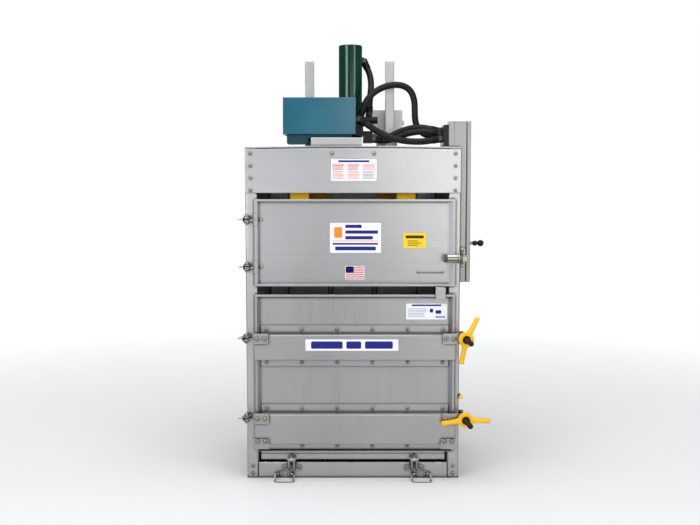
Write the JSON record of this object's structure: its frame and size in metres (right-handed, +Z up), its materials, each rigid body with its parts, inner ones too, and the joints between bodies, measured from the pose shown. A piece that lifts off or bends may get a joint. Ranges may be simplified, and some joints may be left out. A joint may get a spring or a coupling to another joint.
{
  "type": "waste compactor",
  "caption": "Free-standing vertical waste compactor with a hydraulic ram, loading door, clamped discharge door and power unit on the roof.",
  "frame": {"origin": "centre of the underside of the base plate", "axes": "+Z up, +X to the operator's right, -Y towards the operator, who faces the doors"},
  "size_m": [1.2056, 0.983, 2.132],
  "materials": {
    "steel": "brushed",
    "steel_dark": "satin",
    "fasteners": "satin",
    "teal": "satin",
    "green": "gloss",
    "black_metal": "satin",
    "yellow": "gloss",
    "light_box": "matte",
    "hose": "matte",
    "chrome": "polished",
    "knob": "gloss",
    "yellow_knob": "gloss"
  },
  "bodies": {
    "frame": {"base_plate": "steel", "base_front_panel": "steel", "corner_posts": "steel", "side_walls": "steel", "wall_beams": "steel", "back_wall": "steel", "roof_sheet": "steel", "upper_front_cover": "steel", "frame_screws": "fasteners", "hinge_brackets": "steel", "hinge_pins": "fasteners", "clamp_lugs": "steel", "latch_bracket": "steel", "pull_pin_sleeve": "steel", "floor_clevises": "steel", "handle_plates": "steel", "crosshead": "steel_dark", "guide_collars": "steel_dark", "cylinder_flange": "green", "cylinder_barrel": "green", "cylinder_cap": "green", "power_unit_tank": "teal", "power_unit_tray": "teal", "roof_stands": "steel", "pump": "black_metal", "junction_box": "light_box", "control_column": "steel", "column_cover": "steel", "valve_block": "black_metal", "hose_fittings": "steel_dark", "pressure_hose": "hose", "loop_hose": "hose", "front_hose": "hose", "arch_hose": "hose", "return_hose": "hose"},
    "ram": {"piston_rod": "chrome", "guide_posts": "steel", "platen": "steel", "ram_channels": "yellow", "rod_block": "steel_dark"},
    "upper_door": {"upper_door_pan": "steel", "upper_hinge_leaves": "steel", "door_pull": "steel_dark"},
    "lower_door": {"lower_door_pan": "steel", "upper_door_beam": "steel", "lower_door_beam": "steel", "beam_bolts": "fasteners", "lower_hinge_leaves": "steel", "door_plates": "steel", "interlock_tab": "steel"},
    "upper_swing_bolt": {"swing_bolt_upper": "black_metal"},
    "lower_swing_bolt": {"swing_bolt_lower": "black_metal"},
    "upper_hand_nut": {"hand_nut_upper": "yellow"},
    "lower_hand_nut": {"hand_nut_lower": "yellow"},
    "door_latch": {"latch_lever": "steel"},
    "lever": {"control_lever": "knob"},
    "floor": {"tipping_floor": "steel"},
    "left_handle": {"bail_left": "steel_dark"},
    "right_handle": {"bail_right": "steel_dark"},
    "interlock_pin": {"pull_pin": "yellow_knob"}
  },
  "joints": [
    {"name": "ram_slide", "type": "slide", "parent": "frame", "child": "ram", "axis": [0, 0, -1], "range_m": [0, 0.44]},
    {"name": "upper_door_hinge", "type": "hinge", "parent": "frame", "child": "upper_door", "pos_m": [-0.507, -0.406, 1.149], "axis": [0, 0, -1], "range_deg": [0, 110]},
    {"name": "lower_door_hinge", "type": "hinge", "parent": "frame", "child": "lower_door", "pos_m": [-0.511, -0.43, 0.5], "axis": [0, 0, -1], "range_deg": [0, 110]},
    {"name": "upper_clamp_swing", "type": "hinge", "parent": "frame", "child": "upper_swing_bolt", "pos_m": [0.528, -0.345, 0.694], "axis": [0, 0, 1], "range_deg": [0, 95]},
    {"name": "lower_clamp_swing", "type": "hinge", "parent": "frame", "child": "lower_swing_bolt", "pos_m": [0.528, -0.345, 0.307], "axis": [0, 0, 1], "range_deg": [0, 95]},
    {"name": "upper_hand_nut_turn", "type": "hinge", "parent": "upper_swing_bolt", "child": "upper_hand_nut", "pos_m": [0.528, -0.345, 0.694], "axis": [0.0698, -0.9976, 0], "continuous": true},
    {"name": "lower_hand_nut_turn", "type": "hinge", "parent": "lower_swing_bolt", "child": "lower_hand_nut", "pos_m": [0.528, -0.345, 0.307], "axis": [0.0698, -0.9976, 0], "continuous": true},
    {"name": "door_latch_turn", "type": "hinge", "parent": "frame", "child": "door_latch", "pos_m": [0.5303, -0.431, 1.077], "axis": [0, 1, 0], "range_deg": [0, 90]},
    {"name": "lever_tilt", "type": "hinge", "parent": "frame", "child": "lever", "pos_m": [0.576, -0.274, 1.141], "axis": [0, 1, 0], "range_deg": [-12, 12]},
    {"name": "floor_tip", "type": "hinge", "parent": "frame", "child": "floor", "pos_m": [0, -0.4, 0.096], "axis": [1, 0, 0], "range_deg": [0, 30]},
    {"name": "left_handle_lift", "type": "hinge", "parent": "frame", "child": "left_handle", "pos_m": [-0.331, -0.3905, 0.021], "axis": [-1, 0, 0], "range_deg": [0, 30]},
    {"name": "right_handle_lift", "type": "hinge", "parent": "frame", "child": "right_handle", "pos_m": [0.331, -0.3905, 0.021], "axis": [-1, 0, 0], "range_deg": [0, 30]},
    {"name": "interlock_pin_pull", "type": "slide", "parent": "frame", "child": "interlock_pin", "axis": [0, -1, 0], "range_m": [0, 0.015], "stiffness_N_per_m": 400, "springref_m": -0.005}
  ]
}
